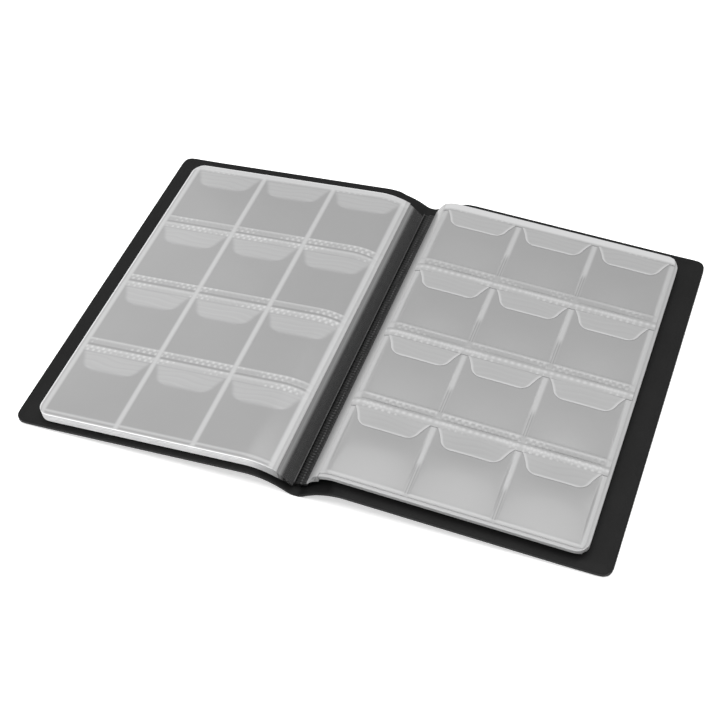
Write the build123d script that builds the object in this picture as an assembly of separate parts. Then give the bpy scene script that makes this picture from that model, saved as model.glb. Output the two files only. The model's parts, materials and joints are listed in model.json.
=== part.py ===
from build123d import *
import os
from math import cos, radians, sin

# Coin album lying open: a black welded cover with a flexible spine, and ten
# twelve-pocket film leaves, five gathered on each side of the gutter.
# Frame: X across the open covers, +Y along the spine to the top of the pages,
# +Z up. The origin is on the table, under the middle of the spine.

# Cover
COVER_HEIGHT = 205.0        # along the spine
PANEL_OUTER_U = 150.2       # gutter to the cover's outer edge, along the panel
PANEL_INNER_U = 16.6        # where the stiff panel begins
CORNER_RADIUS = 5.5
OUTER_SKIN = 0.8
BOARD = 1.2
LINER = 0.6
COVER_THICKNESS = OUTER_SKIN + BOARD + LINER
EDGE_WELD = 4.0             # welded rim outside the board
EDGE_STEP = 0.5             # liner stands back this far from the outer skin's edge
EDGE_ROUND = 0.6

# Spine
HINGE_X = 16.3
TILT = 3.5                  # how far each panel leans down to its outer edge, in degrees
SPINE_FLAT = 4.5            # half width of the strip that lies on the table
SPINE_OUTER = 0.9
SPINE_INNER = 0.7
SPINE_DROP = 2.2            # spine's underside below the hinge line, at its ends

# Binding strip in the gutter, with the film margins on both sides of it
BINDING_LEFT = -3.5
BINDING_RIGHT = 4.6
BINDING_TOP = 8.0
BINDING_PLATE = 0.9
BINDING_STEM = 2.0
MARGIN_OUTER_U = 8.5

# Leaves
LEAF_INNER_U = 9.0
LEAF_OUTER_U = 137.5
LEAF_BOTTOM = -98.0
LEAF_TOP = 93.6
LEAF_CORNER = 6.5
LEAF_PITCH = 1.1
STACK_BASE = 0.3            # lowest leaf above the cover's liner
SHEET = 0.2
FILM = 0.2
POCKET_GAP = 0.25
FLAP = 0.2
LEAVES_PER_SIDE = 5

# Pockets: three columns and four rows on each leaf
COLUMNS = 3
ROWS = 4
COLUMN_PITCH = 41.3
ROW_PITCH = 47.6
BLOCK_INNER_U = 11.0
BLOCK_BOTTOM = -96.2
SIDE_WELD = 2.4
BOTTOM_WELD = 4.0
POCKET_FRONT = 40.5         # height of a pocket's front film above its bottom weld
FLAP_BAND_DROP = 1.2        # flap weld band, below the row above
FLAP_BAND = 4.0
FLAP_LENGTH = 11.5
FLAP_ROOT = 37.5
FLAP_TIP = 28.5
FLAP_CORNER = 3.0

# Free flaps of the top right-hand leaf
FREE_FLAP_GAP = 0.25
FREE_FLAP_HINGE_GAP = 0.3

LEAN = radians(TILT)
# Height of the cover's inner face at the hinge, with the rounded outer edge on the table
HINGE_Z = (
    EDGE_ROUND
    + (COVER_THICKNESS - EDGE_ROUND) * cos(LEAN)
    + (PANEL_OUTER_U - EDGE_ROUND - HINGE_X) * sin(LEAN)
)


def plate(u0, u1, y0, y1, w0, w1):
    """A flat rectangular plate given by its limits."""
    centre = Pos((u0 + u1) / 2, (y0 + y1) / 2, (w0 + w1) / 2)
    return centre * Box(u1 - u0, y1 - y0, w1 - w0)


def round_outer_corners(shape, radius):
    """Round the two upright edges on the side away from the gutter."""
    uprights = shape.edges().filter_by(Axis.Z).sort_by(Axis.X)
    return fillet(uprights[-2:], radius)


def lean_right(shape):
    """Tilt a right-hand piece about the hinge line so that its outer edge drops."""
    hinge = Pos(HINGE_X, 0, HINGE_Z)
    return hinge * Rot(0, TILT, 0) * Pos(-HINGE_X, 0, 0) * shape


def place(shape, side):
    """Put a piece drawn for the right-hand side on the right (+1) or the left (-1)."""
    leaned = lean_right(shape)
    if side > 0:
        return leaned
    return mirror(leaned, about=Plane.YZ)


def world_point(u, w):
    """Right-hand point of the leaning panel as x and z."""
    x = HINGE_X + (u - HINGE_X) * cos(LEAN) + w * sin(LEAN)
    z = HINGE_Z - (u - HINGE_X) * sin(LEAN) + w * cos(LEAN)
    return x, z


def outer_skin():
    """Outer skin of one cover panel, with a softly rounded rim."""
    half = COVER_HEIGHT / 2
    skin = plate(PANEL_INNER_U, PANEL_OUTER_U, -half, half, -COVER_THICKNESS, OUTER_SKIN - COVER_THICKNESS)
    skin = round_outer_corners(skin, CORNER_RADIUS)
    bottom = skin.faces().sort_by(Axis.Z)[0]
    rim = bottom.edges().sort_by(Axis.X)[1:]
    return fillet(rim, EDGE_ROUND)


def board():
    """Stiff board inside one cover panel."""
    half = COVER_HEIGHT / 2 - EDGE_WELD
    core = plate(PANEL_INNER_U + 2.0, PANEL_OUTER_U - EDGE_WELD, -half, half, -LINER - BOARD, -LINER)
    return round_outer_corners(core, CORNER_RADIUS - 2.0)


def liner():
    """Inner skin of one cover panel, welded down all round the board."""
    half = COVER_HEIGHT / 2 - EDGE_STEP
    skin = plate(PANEL_INNER_U, PANEL_OUTER_U - EDGE_STEP, -half, half, -LINER - BOARD, 0)
    skin = round_outer_corners(skin, CORNER_RADIUS - EDGE_STEP)
    top = skin.faces().sort_by(Axis.Z)[-1]
    rim = top.edges().sort_by(Axis.X)[1:]
    skin = fillet(rim, EDGE_ROUND)
    return skin - board()


def spine_line(height):
    """One line of the spine's cross-section, raised by the given height."""
    end_z = HINGE_Z - SPINE_DROP + height
    left = Spline(
        (-HINGE_X, end_z), (-SPINE_FLAT, height), tangents=[(1.0, -0.3), (1.0, 0.0)]
    )
    flat = Line((-SPINE_FLAT, height), (SPINE_FLAT, height))
    right = Spline(
        (SPINE_FLAT, height), (HINGE_X, end_z), tangents=[(1.0, 0.0), (1.0, 0.3)]
    )
    return [left, flat, right]


def extrude_section(edges, y0, y1):
    """Extrude a cross-section drawn in x and z along the spine."""
    face = make_face([Plane.XZ * edge for edge in edges])
    solid = extrude(face, amount=y1 - y0, dir=(0, 1, 0))
    return Pos(0, y0, 0) * solid


def spine_layer(low, high):
    """One layer of the flexible spine between two heights of its section."""
    end_low = HINGE_Z - SPINE_DROP + low
    end_high = HINGE_Z - SPINE_DROP + high
    ends = [
        Line((-HINGE_X, end_low), (-HINGE_X, end_high)),
        Line((HINGE_X, end_low), (HINGE_X, end_high)),
    ]
    half = COVER_HEIGHT / 2
    return extrude_section(spine_line(low) + spine_line(high) + ends, -half, half)


def binding_strip():
    """Welded strip that the film margins hang from, on a stem along the spine."""
    floor = SPINE_OUTER + SPINE_INNER
    plate_low = BINDING_TOP - BINDING_PLATE
    top = plate(BINDING_LEFT, BINDING_RIGHT, LEAF_BOTTOM, LEAF_TOP, plate_low, BINDING_TOP)
    stem = plate(-BINDING_STEM / 2, BINDING_STEM / 2, LEAF_BOTTOM, LEAF_TOP, floor, plate_low)
    return top + stem


def margins(lower_end):
    """Film margins of one stack, gathered from the leaves down to the binding strip."""
    top_x, top_z = world_point(MARGIN_OUTER_U, STACK_BASE + LEAVES_PER_SIDE * LEAF_PITCH - 0.7)
    low_x, low_z = world_point(MARGIN_OUTER_U, STACK_BASE + 0.5)
    tip_x, tip_z = lower_end
    upper = Spline((top_x, top_z), (tip_x, tip_z + 0.8), tangents=[(-1.0, 0.0), (-0.5, -1.0)])
    lower = Spline((low_x, low_z), (tip_x + 1.2, tip_z), tangents=[(-1.0, 0.0), (-0.5, -0.8)])
    section = [
        upper,
        Line((tip_x, tip_z + 0.8), (tip_x + 1.2, tip_z)),
        lower,
        Line((low_x, low_z), (top_x, top_z)),
    ]
    return extrude_section(section, LEAF_BOTTOM, LEAF_TOP)


def base_sheet(w):
    """Plain back film of one leaf."""
    sheet = plate(LEAF_INNER_U, LEAF_OUTER_U, LEAF_BOTTOM, LEAF_TOP, w, w + SHEET)
    return round_outer_corners(sheet, LEAF_CORNER)


def pocket_strip(row, film_w, rib_w):
    """Front film of one row of pockets with its upright and bottom welds."""
    bottom = BLOCK_BOTTOM + row * ROW_PITCH
    outer = BLOCK_INNER_U + COLUMNS * COLUMN_PITCH
    top = bottom + BOTTOM_WELD + POCKET_FRONT
    strip = plate(BLOCK_INNER_U - 1.0, outer + 1.0, bottom, top, film_w, film_w + FILM)
    strip += plate(
        BLOCK_INNER_U - 1.0, outer + 1.0, bottom, bottom + BOTTOM_WELD, rib_w, rib_w + POCKET_GAP
    )
    for column in range(COLUMNS + 1):
        middle = BLOCK_INNER_U + column * COLUMN_PITCH
        left = max(middle - SIDE_WELD / 2, BLOCK_INNER_U - 1.0)
        right = min(middle + SIDE_WELD / 2, outer + 1.0)
        strip += plate(left, right, bottom, top, rib_w, rib_w + POCKET_GAP)
    return strip


def pocket_strips(film_w, rib_w):
    """All pocket fronts of one leaf."""
    return Compound([pocket_strip(row, film_w, rib_w) for row in range(ROWS)])


def flap_band_top(row):
    """Upper edge of the weld band that holds a row's flaps."""
    return BLOCK_BOTTOM + (row + 1) * ROW_PITCH - FLAP_BAND_DROP


def tongue(column, row, w, inset):
    """Rounded tongue that closes one pocket, below its weld band."""
    centre_u = BLOCK_INNER_U + (column + 0.5) * COLUMN_PITCH
    root_y = flap_band_top(row) - FLAP_BAND - inset
    tip_y = flap_band_top(row) - FLAP_BAND - FLAP_LENGTH
    corners = [
        (centre_u - FLAP_ROOT / 2, root_y),
        (centre_u + FLAP_ROOT / 2, root_y),
        (centre_u + FLAP_TIP / 2, tip_y),
        (centre_u - FLAP_TIP / 2, tip_y),
    ]
    face = make_face(Polyline(*corners, close=True))
    tip_corners = face.vertices().sort_by(Axis.Y)[:2]
    face = fillet(tip_corners, FLAP_CORNER)
    return Pos(0, 0, w) * extrude(face, amount=FLAP)


def flap_band(row, w, thickness):
    """Weld band across one row of flaps."""
    outer = BLOCK_INNER_U + COLUMNS * COLUMN_PITCH
    top = flap_band_top(row)
    return plate(BLOCK_INNER_U - 1.0, outer + 1.0, top - FLAP_BAND, top, w, w + thickness)


def flap_strips(w):
    """Flap bands of one leaf with their tongues."""
    strips = []
    for row in range(ROWS):
        strip = flap_band(row, w, FLAP)
        for column in range(COLUMNS):
            strip += tongue(column, row, w, 0)
        strips.append(strip)
    return Compound(strips)


def flap_bands(w):
    """Flap bands alone, for the leaf whose tongues lift."""
    bands = [flap_band(row, w, FREE_FLAP_GAP + FLAP) for row in range(ROWS)]
    return Compound(bands)


def save(shape, node):
    """Write one node."""
    export_step(shape, f"parts/{node}.step")


def save_cover(side, name):
    """Write the three layers of one cover panel."""
    save(place(outer_skin(), side), f"{name}_outer_skin")
    save(place(board(), side), f"{name}_board")
    save(place(liner(), side), f"{name}_liner")


def save_left_leaf(number):
    """Write a left-hand leaf, which lies with its pockets down."""
    w = STACK_BASE + (number - 1) * LEAF_PITCH
    film_w = w + FLAP
    rib_w = film_w + FILM
    save(place(base_sheet(rib_w + POCKET_GAP), -1), f"leaf_{number:02d}_sheet")
    save(place(pocket_strips(film_w, rib_w), -1), f"leaf_{number:02d}_pockets")
    save(place(flap_strips(w), -1), f"leaf_{number:02d}_flaps")


def save_right_leaf(number):
    """Write a right-hand leaf, which lies with its pockets up."""
    w = STACK_BASE + (2 * LEAVES_PER_SIDE - number) * LEAF_PITCH
    rib_w = w + SHEET
    film_w = rib_w + POCKET_GAP
    flap_w = film_w + FILM
    save(place(base_sheet(w), 1), f"leaf_{number:02d}_sheet")
    save(place(pocket_strips(film_w, rib_w), 1), f"leaf_{number:02d}_pockets")
    if number > LEAVES_PER_SIDE + 1:
        save(place(flap_strips(flap_w), 1), f"leaf_{number:02d}_flaps")
        return
    save(place(flap_bands(flap_w), 1), f"leaf_{number:02d}_flap_bands")
    for row in range(ROWS):
        for column in range(COLUMNS):
            flap = tongue(column, row, flap_w + FREE_FLAP_GAP, FREE_FLAP_HINGE_GAP)
            index = (ROWS - 1 - row) * COLUMNS + column + 1
            save(place(flap, 1), f"flap_{index:02d}")


os.makedirs("parts", exist_ok=True)
save(spine_layer(0, SPINE_OUTER), "spine_skin")
save(spine_layer(SPINE_OUTER, SPINE_OUTER + SPINE_INNER), "spine_liner")
save(binding_strip(), "binding_strip")
save(mirror(margins((1.8, BINDING_TOP + 0.6)), about=Plane.YZ), "left_margins")
save(margins((4.9, BINDING_TOP + 0.6)), "right_margins")
save_cover(-1, "front")
save_cover(1, "back")
for leaf in range(1, LEAVES_PER_SIDE + 1):
    save_left_leaf(leaf)
for leaf in range(LEAVES_PER_SIDE + 1, 2 * LEAVES_PER_SIDE + 1):
    save_right_leaf(leaf)
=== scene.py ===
import json
import math

import bpy
import numpy as np
from mathutils import Matrix, Vector


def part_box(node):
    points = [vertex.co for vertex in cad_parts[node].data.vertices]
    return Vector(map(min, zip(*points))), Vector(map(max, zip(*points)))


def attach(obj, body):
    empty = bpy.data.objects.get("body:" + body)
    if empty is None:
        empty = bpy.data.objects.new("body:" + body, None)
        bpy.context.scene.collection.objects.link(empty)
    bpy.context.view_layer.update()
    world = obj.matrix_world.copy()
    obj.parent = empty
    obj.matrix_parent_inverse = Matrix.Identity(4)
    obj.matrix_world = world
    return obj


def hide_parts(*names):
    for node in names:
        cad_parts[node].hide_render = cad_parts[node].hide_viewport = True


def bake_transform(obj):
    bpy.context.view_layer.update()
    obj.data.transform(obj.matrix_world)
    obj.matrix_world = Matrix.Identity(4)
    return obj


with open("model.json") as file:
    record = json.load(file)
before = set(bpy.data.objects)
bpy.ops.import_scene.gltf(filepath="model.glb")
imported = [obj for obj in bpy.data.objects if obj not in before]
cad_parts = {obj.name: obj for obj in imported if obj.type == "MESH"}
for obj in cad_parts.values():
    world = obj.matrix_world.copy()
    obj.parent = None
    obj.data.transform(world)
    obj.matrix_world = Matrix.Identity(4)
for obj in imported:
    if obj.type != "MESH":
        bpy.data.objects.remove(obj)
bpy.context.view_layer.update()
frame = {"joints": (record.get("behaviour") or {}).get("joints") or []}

# ---------------------------------------------------------------- sizes, in metres
MM = 0.001
JOINTS = {joint["name"]: joint for joint in frame["joints"]}
HINGE_X = JOINTS["back_cover_hinge"]["pos_m"][0]
HINGE_Z = JOINTS["back_cover_hinge"]["pos_m"][2]
FLAP_AXIS = JOINTS["flap_01_lift"]["axis"]
LEAN = math.atan2(-FLAP_AXIS[2], FLAP_AXIS[0])

LEAF_LOW, LEAF_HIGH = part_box("leaf_06_sheet")
BLOCK_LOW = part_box("leaf_06_pockets")[0]
COVER_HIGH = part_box("back_outer_skin")[1]
LEFT, RIGHT = -1, 1  # sides of the gutter

# Cover
COVER_THICK = 2.6 * MM
OUTER_SKIN = 0.8 * MM
BOARD_THICK = 1.2 * MM
SPINE_THICK = 1.6 * MM
COVER_CORNER = 5.5 * MM
SKIN_ROUND = 0.55 * MM  # round rim of the outer skin
LINING_ROUND = 0.7 * MM  # round rim of the lining
LINING_BORDER = 3.2 * MM  # hinge line or cover's edge to where the lining rises to the board
BOARD_INSET = 4.2 * MM  # cover's edge to the board
BOARD_START = 4.4 * MM  # hinge line to the board
BOARD_GAP = 0.05 * MM  # play of the board between the skins

# Curve of covers and leaves down into the gutter, and how far out it reaches
CURVE_DEPTH = 11.3 * MM
CURVE_POWER = 2.17
CURVE_FLOOR = 1.6 * MM  # height below which a cover eases onto the table
LEAF_REACH = {LEFT: 27.0 * MM, RIGHT: 18.0 * MM}
COVER_REACH = {LEFT: 27.0 * MM, RIGHT: 26.0 * MM}

# Stacks of leaves
LEAVES_PER_SIDE = 5
LEFT_FORWARD = 2.0 * MM  # how far forward the left stack lies
RIGHT_BACK = 1.5 * MM  # extra length of the right stack's back margin
TOP_MARGIN = 4.5 * MM  # width of a leaf's back margin
INSET_STEP = 0.45 * MM  # each lower right-hand leaf's front edge lies further back
LEAF_CORNER = 6.5 * MM
STACK_BASE = 0.3 * MM
LEAF_PITCH = 1.1 * MM

# Layers of one leaf, above its underside
SHEET = 0.2 * MM
WELD_TOP = 0.45 * MM
FILM_TOP = 0.65 * MM
LEAF_THICK = 0.85 * MM

# Pockets of one leaf
COLUMNS = 3
ROWS = 4
COLUMN_PITCH = 41.3 * MM
ROW_PITCH = 47.6 * MM
BOTTOM_WELD = 4.0 * MM
LOWEST_WELD = 1.6 * MM
SIDE_WELD = 2.4 * MM
INNER_WELD = 4.4 * MM
POCKET_TOP = 44.5 * MM
BAND_LOW = ROW_PITCH - 5.2 * MM
BAND_HIGH = ROW_PITCH - 1.2 * MM
BLOCK_BORDER = 1.0 * MM
PLEAT_HEIGHT = 19.0 * MM  # pleats beside an upright weld end here, above the row's base
PLEAT_HALF = 0.6 * MM
SHOWN_BULGE = 1.5 * MM
HIDDEN_BULGE = 0.12 * MM
BACK_BULGE = 0.25 * MM

# Flaps and the knurl of the weld bands
FLAP_LENGTH = 11.5 * MM
FLAP_ROOT = 37.5 * MM
FLAP_TIP = 28.5 * MM
FLAP_CORNER = 5.0 * MM
FLAP_TURN = 0.62  # share of a tongue's length where its tip corners start
FLAP_THICK = 0.2 * MM
FLAP_HINGE_GAP = 0.15 * MM
TONGUE_GAP = 0.05 * MM
DOT_PITCH = 3.3 * MM
DOT_ROW = 2.0 * MM
DOT_HEIGHT = 0.16 * MM


def along_panel(x, w):
    """Distance outward from the hinge line of a point on a right-hand panel."""
    return (x - HINGE_X - w * math.sin(LEAN)) / math.cos(LEAN)


def leaf_base(order):
    """Height of a leaf's underside above its cover; order 0 is the top leaf."""
    return STACK_BASE + (LEAVES_PER_SIDE - 1 - order) * LEAF_PITCH


LEAF_INNER = along_panel(LEAF_LOW.x, leaf_base(0))
LEAF_OUTER = along_panel(LEAF_HIGH.x, leaf_base(0))
BLOCK_INNER = along_panel(BLOCK_LOW.x, leaf_base(0) + SHEET) + BLOCK_BORDER
STRIPS_INNER = BLOCK_INNER - BLOCK_BORDER
STRIPS_OUTER = BLOCK_INNER + COLUMNS * COLUMN_PITCH + BLOCK_BORDER
BLOCK_BOTTOM = BLOCK_LOW.y
COVER_OUTER = along_panel(COVER_HIGH.x, -COVER_THICK)
COVER_HALF = COVER_HIGH.y


# ---------------------------------------------------------------- mesh helpers
def smoothstep(low, high, value):
    """Smooth ramp from 0 at low to 1 at high; low may lie above high."""
    t = np.clip((value - low) / (high - low), 0, 1)
    return t * t * (3 - 2 * t)


def gutter_sag(reach, u):
    """How far covers and leaves curve down into the gutter, at distance u from the middle."""
    return CURVE_DEPTH * np.clip((reach - u) / reach, 0, 1) ** CURVE_POWER


def stack_shift(side, y):
    """Offset along y: the left stack lies forward, the right one's back margin is longer."""
    if side == LEFT:
        return 0 * y - LEFT_FORWARD
    return RIGHT_BACK * smoothstep(LEAF_HIGH.y - TOP_MARGIN, LEAF_HIGH.y, y)


def panel_place(side):
    """Map from a leaning panel's own coordinates to the frame."""

    def place(s, y, w):
        """s runs outward from the hinge, y along the spine and w up from the cover."""
        u = HINGE_X + s * math.cos(LEAN) + w * math.sin(LEAN)
        z = HINGE_Z - s * math.sin(LEAN) + w * math.cos(LEAN) - gutter_sag(LEAF_REACH[side], u)
        return np.stack([side * u, y + stack_shift(side, y) + 0 * u, z + 0 * u], axis=-1)

    return place


def grid_faces(rows, columns, start, flip):
    """Quads of a grid whose vertices are numbered row by row from start."""
    index = start + np.arange(rows * columns).reshape(rows, columns)
    quads = np.stack(
        [index[:-1, :-1], index[1:, :-1], index[1:, 1:], index[:-1, 1:]], axis=-1
    ).reshape(-1, 4)
    return quads[:, ::-1] if flip else quads


def wall_faces(rows, columns, top, bottom, flip):
    """Quads that join the borders of two equal grids."""
    a = top + np.arange(rows * columns).reshape(rows, columns)
    loop = np.concatenate([a[0, :-1], a[:-1, -1], a[-1, :0:-1], a[:0:-1, 0]])
    nxt = np.roll(loop, -1)
    shift = bottom - top
    quads = np.stack([loop, nxt, nxt + shift, loop + shift], axis=-1)
    return quads[:, ::-1] if flip else quads


class Mesh:
    """Vertices, faces and vertex values gathered before one Blender mesh is made."""

    def __init__(self):
        self.points = []
        self.faces = []
        self.uv = []
        self.marks = {}
        self.count = 0

    def add(self, points, uv, marks):
        """Add one grid of vertices with its flat coordinates and marks."""
        start = self.count
        flat = points.reshape(-1, 3)
        self.points.append(flat)
        self.uv.append(np.broadcast_to(uv, points.shape[:-1] + (2,)).reshape(-1, 2))
        for name, value in marks.items():
            full = np.broadcast_to(value, points.shape[:-1]).reshape(-1)
            self.marks.setdefault(name, []).append((start, full))
        self.count += len(flat)
        return start

    def slab(self, place, s, y, top, bottom, flip, marks=None):
        """Closed solid between two height fields over one grid of s and y."""
        marks = marks or {}
        rows, columns = s.shape
        uv = np.stack([s, y], axis=-1)
        upper = self.add(place(s, y, top), uv, marks)
        lower = self.add(place(s, y, bottom), uv, marks)
        self.faces.append(grid_faces(rows, columns, upper, flip))
        self.faces.append(grid_faces(rows, columns, lower, not flip))
        self.faces.append(wall_faces(rows, columns, upper, lower, not flip))

    def build(self, name, material, smooth_angle=40):
        """Make the Blender object, with every mark as a vertex attribute."""
        points = np.concatenate(self.points)
        faces = np.concatenate(self.faces)
        mesh = bpy.data.meshes.new(name)
        mesh.from_pydata(points.tolist(), [], faces.tolist())
        uv = np.concatenate(self.uv)
        layer = mesh.uv_layers.new(name="flat")
        corners = np.empty(len(mesh.loops), dtype=np.int32)
        mesh.loops.foreach_get("vertex_index", corners)
        layer.data.foreach_set("uv", uv[corners].astype(np.float32).ravel())
        for mark, parts in self.marks.items():
            values = np.zeros(len(points), dtype=np.float32)
            for start, part in parts:
                values[start : start + len(part)] = part
            attribute = mesh.attributes.new(mark, "FLOAT", "POINT")
            attribute.data.foreach_set("value", values)
        mesh.update()
        piece = bpy.data.objects.new(name, mesh)
        bpy.context.scene.collection.objects.link(piece)
        mesh.materials.append(material)
        mesh.shade_smooth()
        mesh.set_sharp_from_angle(angle=math.radians(smooth_angle))
        return piece


def spaced(low, high, step, rim=()):
    """Even stations from low to high, with extra ones close to both ends."""
    count = max(2, int(round((high - low) / step)) + 1)
    middle = np.linspace(low, high, count)
    extra = [low + r for r in rim] + [high - r for r in rim]
    return np.unique(np.concatenate([middle, extra]).round(7))


def round_corners(s, y, radius, low, high, outer):
    """Pull the two outer corners of a grid onto quarter circles."""
    s, y = s.copy(), y.copy()
    for sign, edge in ((-1, low), (1, high)):
        p = np.clip((s - (outer - radius)) / radius, 0, 1)
        q = np.clip((sign * (y - edge) + radius) / radius, 0, 1)
        inside = (p > 0) & (q > 0)
        p_round = p * np.sqrt(1 - q * q / 2)
        q_round = q * np.sqrt(1 - p * p / 2)
        s = np.where(inside, outer - radius + radius * p_round, s)
        y = np.where(inside, edge - sign * radius + sign * radius * q_round, y)
    return s, y


def bullnose(distance, radius):
    """How far a rounded rim falls below the flat face at this distance from the edge."""
    inward = np.clip(radius - distance, 0, radius)
    return radius - np.sqrt(radius * radius - inward * inward)


# ---------------------------------------------------------------- materials
# Vertex marks from 0 to 1 guide the shaders. On milky vinyl, flap and weld say where film is doubled
# or welded and paler; the weld mark also holds painted highlights on band folds and painted shade
# towards the gutter. dots is a painted highlight on the knurl's dot tops, crease painted shade in
# creases, grooves and pleats, and edge a painted highlight along the free edges.
# On a margin film, depth runs from the leaf to the strip.
# tone of the painted highlight on the knurl's dot tops
DOT_HIGHLIGHT_TONE = 0.85
# tone of the painted shade in creases, grooves and pleats
CREASE_SHADE_TONE = 0.12
# tone of the painted highlight along a leaf's free edges
EDGE_HIGHLIGHT_TONE = 0.9


def new_material(name):
    """Material with its nodes, links and shader node."""
    material = bpy.data.materials.new(name)
    material.use_nodes = True
    nodes = material.node_tree.nodes
    return material, nodes, material.node_tree.links, nodes["Principled BSDF"]


def ramp(nodes, links, source, stops):
    """Grey ramp between two stops, each a position and a tone."""
    node = nodes.new("ShaderNodeValToRGB")
    elements = node.color_ramp.elements
    elements[0].position, elements[0].color = stops[0][0], (*[stops[0][1]] * 3, 1)
    elements[1].position, elements[1].color = stops[1][0], (*[stops[1][1]] * 3, 1)
    links.new(source, node.inputs["Fac"])
    return node.outputs["Color"]


def noise(nodes, links, scale, detail):
    """Noise in the object's own coordinates."""
    coordinates = nodes.new("ShaderNodeTexCoord")
    node = nodes.new("ShaderNodeTexNoise")
    node.inputs["Scale"].default_value = scale
    node.inputs["Detail"].default_value = detail
    links.new(coordinates.outputs["Object"], node.inputs["Vector"])
    return node.outputs["Fac"]


def bump(nodes, links, height, strength, distance, shader):
    """Fine relief on a shader's surface."""
    node = nodes.new("ShaderNodeBump")
    node.inputs["Strength"].default_value = strength
    node.inputs["Distance"].default_value = distance
    links.new(height, node.inputs["Height"])
    links.new(node.outputs["Normal"], shader.inputs["Normal"])


def black_vinyl(name, tone, grain_scale, grain_strength, roughness, shine=0.14):
    """Black soft PVC with a fine pressed grain."""
    material, nodes, links, shader = new_material(name)
    cloud = noise(nodes, links, 60, 3)
    colour = ramp(nodes, links, cloud, ((0.3, tone * 0.85), (0.7, tone * 1.15)))
    links.new(colour, shader.inputs["Base Color"])
    coordinates = nodes.new("ShaderNodeTexCoord")
    cells = nodes.new("ShaderNodeTexVoronoi")
    cells.inputs["Scale"].default_value = grain_scale
    links.new(coordinates.outputs["Object"], cells.inputs["Vector"])
    grain = cells.outputs["Distance"]
    rough = ramp(nodes, links, grain, ((0.0, roughness - 0.05), (1.0, roughness + 0.1)))
    links.new(rough, shader.inputs["Roughness"])
    shader.inputs["Specular IOR Level"].default_value = shine
    bump(nodes, links, grain, grain_strength, 0.0002, shader)
    return material


def attribute(nodes, name):
    """Value of a vertex mark."""
    node = nodes.new("ShaderNodeAttribute")
    node.attribute_name = name
    return node.outputs["Fac"]


def shade(nodes, links, colour, mark, target):
    """Mix a colour towards a grey tone where a vertex mark is set."""
    mix = nodes.new("ShaderNodeMix")
    mix.data_type = "RGBA"
    links.new(attribute(nodes, mark), mix.inputs["Factor"])
    links.new(colour, mix.inputs["A"])
    mix.inputs["B"].default_value = (target, target, target * 1.005, 1)
    return mix.outputs["Result"]


def milky_vinyl(name, tone, weld_tone, flap_tone, roughness, marks=True):
    """Milky vinyl: soft grey body, paler where films are welded or doubled, with painted shade in
    creases and painted highlights on dot tops and free edges.
    """
    material, nodes, links, shader = new_material(name)
    cloud = noise(nodes, links, 14, 3)
    colour = ramp(nodes, links, cloud, ((0.3, tone * 0.97), (0.7, tone * 1.04)))
    if marks:
        colour = shade(nodes, links, colour, "flap", flap_tone)
        colour = shade(nodes, links, colour, "weld", weld_tone)
        # dots: painted highlight; crease: painted shade; edge: painted highlight
        colour = shade(nodes, links, colour, "dots", DOT_HIGHLIGHT_TONE)
        colour = shade(nodes, links, colour, "crease", CREASE_SHADE_TONE)
        colour = shade(nodes, links, colour, "edge", EDGE_HIGHLIGHT_TONE)
    links.new(colour, shader.inputs["Base Color"])
    fine = noise(nodes, links, 220, 4)
    rough = ramp(nodes, links, fine, ((0.2, roughness - 0.015), (0.8, roughness + 0.02)))
    links.new(rough, shader.inputs["Roughness"])
    shader.inputs["Specular IOR Level"].default_value = 0.5
    shader.inputs["Coat Weight"].default_value = 0.25
    shader.inputs["Coat Roughness"].default_value = 0.12
    bump(nodes, links, noise(nodes, links, 90, 2), 0.05, 0.0004, shader)
    return material


def depth_ramp(nodes, links, stops):
    """Grey ramp along a margin film, from the leaf to the strip."""
    node = nodes.new("ShaderNodeValToRGB")
    elements = node.color_ramp.elements
    for _ in stops[2:]:
        elements.new(0.5)
    for element, (position, value) in zip(elements, stops):
        element.position, element.color = position, (value, value, value, 1)
    links.new(attribute(nodes, "depth"), node.inputs["Fac"])
    return node.outputs["Color"]


def clear_vinyl(name, tones, alphas, roughness):
    """Clear glossy film, streaked; tones and alphas run from the leaf down to the strip."""
    material, nodes, links, shader = new_material(name)
    coordinates = nodes.new("ShaderNodeTexCoord")
    stretch = nodes.new("ShaderNodeMapping")
    stretch.inputs["Scale"].default_value = (420, 3, 420)
    links.new(coordinates.outputs["Object"], stretch.inputs["Vector"])
    streaks = nodes.new("ShaderNodeTexNoise")
    streaks.inputs["Scale"].default_value = 1.0
    streaks.inputs["Detail"].default_value = 1.0
    links.new(stretch.outputs["Vector"], streaks.inputs["Vector"])
    links.new(depth_ramp(nodes, links, tones), shader.inputs["Base Color"])
    links.new(depth_ramp(nodes, links, alphas), shader.inputs["Alpha"])
    lines = streaks.outputs["Fac"]
    rough = ramp(nodes, links, lines, ((0.3, roughness - 0.04), (0.7, roughness + 0.07)))
    links.new(rough, shader.inputs["Roughness"])
    shader.inputs["Specular IOR Level"].default_value = 0.6
    bump(nodes, links, lines, 0.3, 0.0004, shader)
    return material


COVER_OUT = black_vinyl("cover_grain", 0.006, 2600, 0.35, 0.55)
COVER_IN = black_vinyl("cover_lining", 0.006, 3400, 0.25, 0.5)
BINDING_BLACK = black_vinyl("binding_black", 0.004, 2400, 0.1, 0.34, shine=0.42)
PAGE = milky_vinyl("page_vinyl", 0.25, 0.44, 0.38, 0.31)
FLAP_FILM = milky_vinyl("flap_vinyl", 0.285, 0.50, 0.38, 0.31)
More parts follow.
